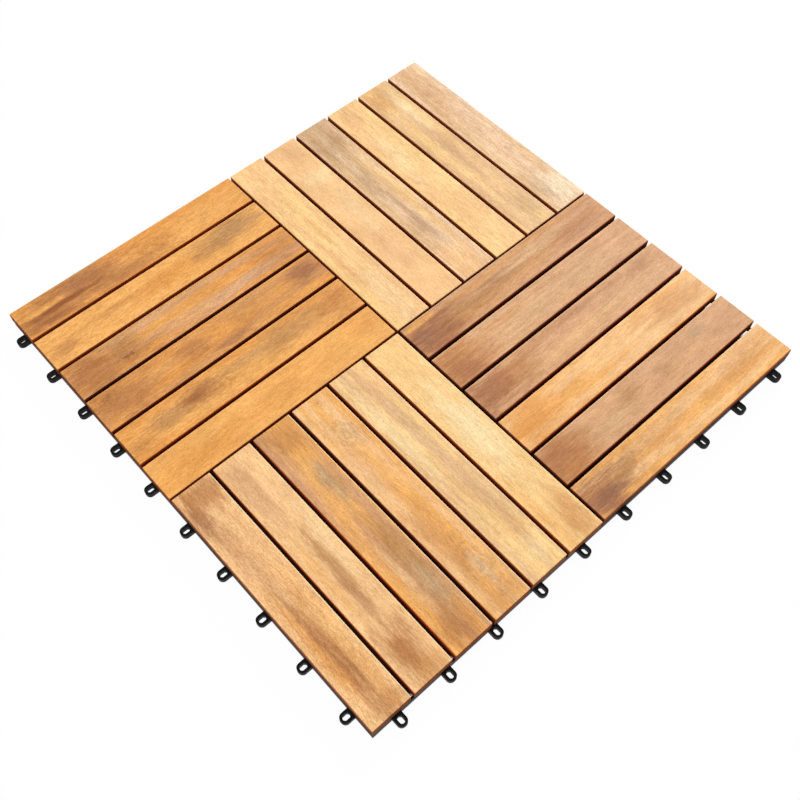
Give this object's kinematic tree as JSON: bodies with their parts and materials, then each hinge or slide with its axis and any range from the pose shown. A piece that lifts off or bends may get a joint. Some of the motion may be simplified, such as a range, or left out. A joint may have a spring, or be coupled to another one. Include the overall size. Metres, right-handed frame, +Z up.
{
  "type": "interlocking deck tile",
  "caption": "Square deck tile of wooden slats in four blocks, checker laid, on a moulded plastic base with edge loops and pegs.",
  "frame": {"origin": "centre of the tile on the ground, at the underside of its base", "axes": "+Z up through the deck surface; loops stand out on the -X and -Y sides, pegs hang under the +X and +Y rims; the near and far blocks have slats along Y"},
  "size_m": [0.6096, 0.6096, 0.022],
  "materials": {
    "wood": "oiled, satin",
    "base": "moulded, matte",
    "screws": "zinc plated"
  },
  "bodies": {
    "root": {"base_grid": "base", "slat_far_1": "wood", "slat_far_2": "wood", "slat_far_3": "wood", "slat_far_4": "wood", "slat_far_5": "wood", "slat_far_6": "wood", "slat_left_1": "wood", "slat_left_2": "wood", "slat_left_3": "wood", "slat_left_4": "wood", "slat_left_5": "wood", "slat_left_6": "wood", "slat_near_1": "wood", "slat_near_2": "wood", "slat_near_3": "wood", "slat_near_4": "wood", "slat_near_5": "wood", "slat_near_6": "wood", "slat_right_1": "wood", "slat_right_2": "wood", "slat_right_3": "wood", "slat_right_4": "wood", "slat_right_5": "wood", "slat_right_6": "wood", "screws_far": "screws", "screws_left": "screws", "screws_near": "screws", "screws_right": "screws"}
  },
  "joints": []
}
